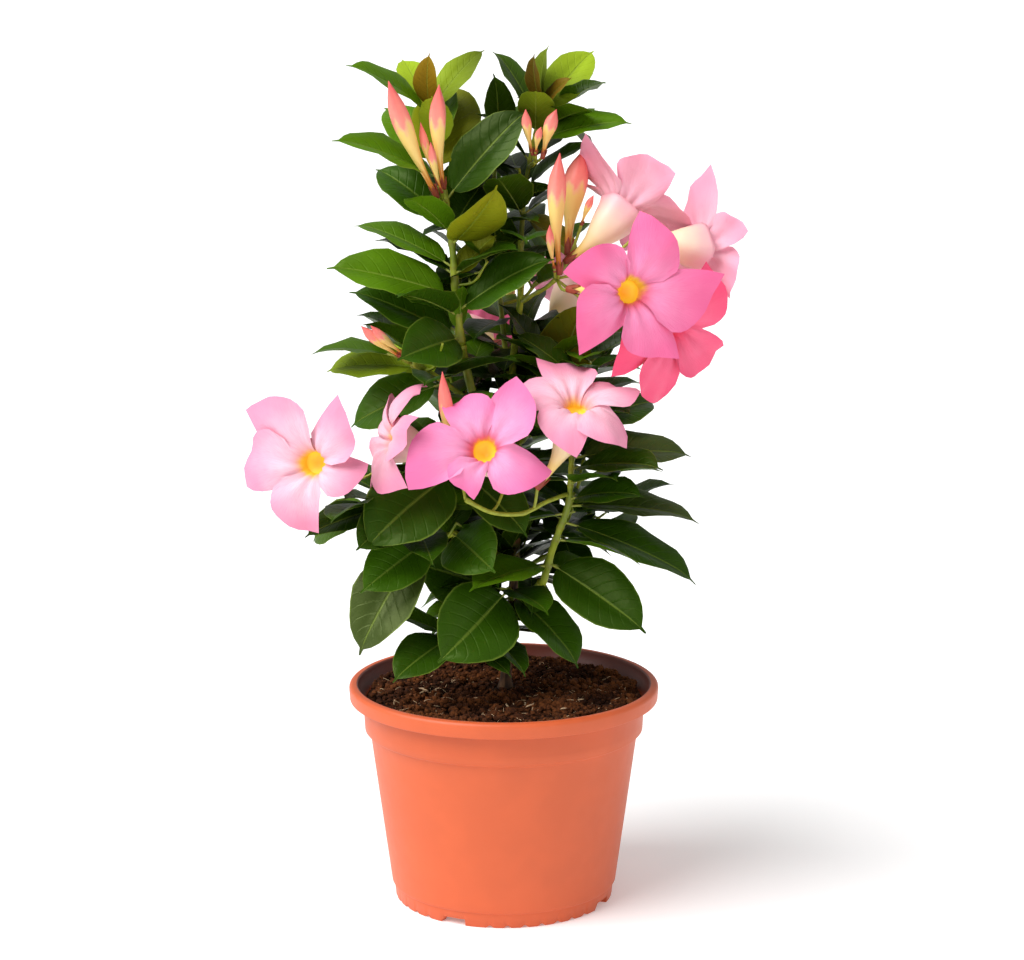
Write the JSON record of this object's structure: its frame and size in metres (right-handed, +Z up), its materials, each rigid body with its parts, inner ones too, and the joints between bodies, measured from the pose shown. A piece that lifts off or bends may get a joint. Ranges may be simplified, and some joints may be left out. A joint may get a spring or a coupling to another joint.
{
  "type": "potted mandevilla",
  "caption": "Bushy mandevilla with two leafy leaders, glossy oval leaves and pink trumpet blooms, standing in a round terracotta-coloured nursery pot filled with soil.",
  "frame": {"origin": "Middle of the pot's flat underside, on the ground it stands on.", "axes": "+Z up, -Y the front (the side that the picture shows), +X to the viewer's right."},
  "size_m": [0.2996, 0.2235, 0.5206],
  "materials": {
    "pot_plastic": "satin moulded plastic, terracotta coloured",
    "soil": "moist crumbly peat with pale fibres",
    "bark": "thin brown bark",
    "green_stem": "smooth young green stem",
    "foliage": "glossy leathery leaves",
    "blossom": "soft matt petals"
  },
  "bodies": {
    "root": {"pot": "pot_plastic", "soil": "soil", "trunk": "bark", "left_leader": "green_stem", "right_bough": "green_stem", "low_left_bough": "green_stem", "crown_left": "foliage", "crown_right": "foliage", "crown_back": "foliage", "mid_back_right": "foliage", "low_back": "foliage", "mid_left": "foliage", "mid_front": "foliage", "mid_right": "foliage", "mid_back_left": "foliage", "low_left": "foliage", "low_right": "foliage", "low_middle": "foliage", "low_front": "foliage", "low_back_left": "foliage", "low_back_right": "foliage", "blooms_right": "blossom", "blooms_front": "blossom", "blooms_left": "blossom", "blooms_back": "blossom", "buds_top_left": "blossom", "buds_top_right": "blossom", "buds_left": "blossom"}
  },
  "joints": []
}
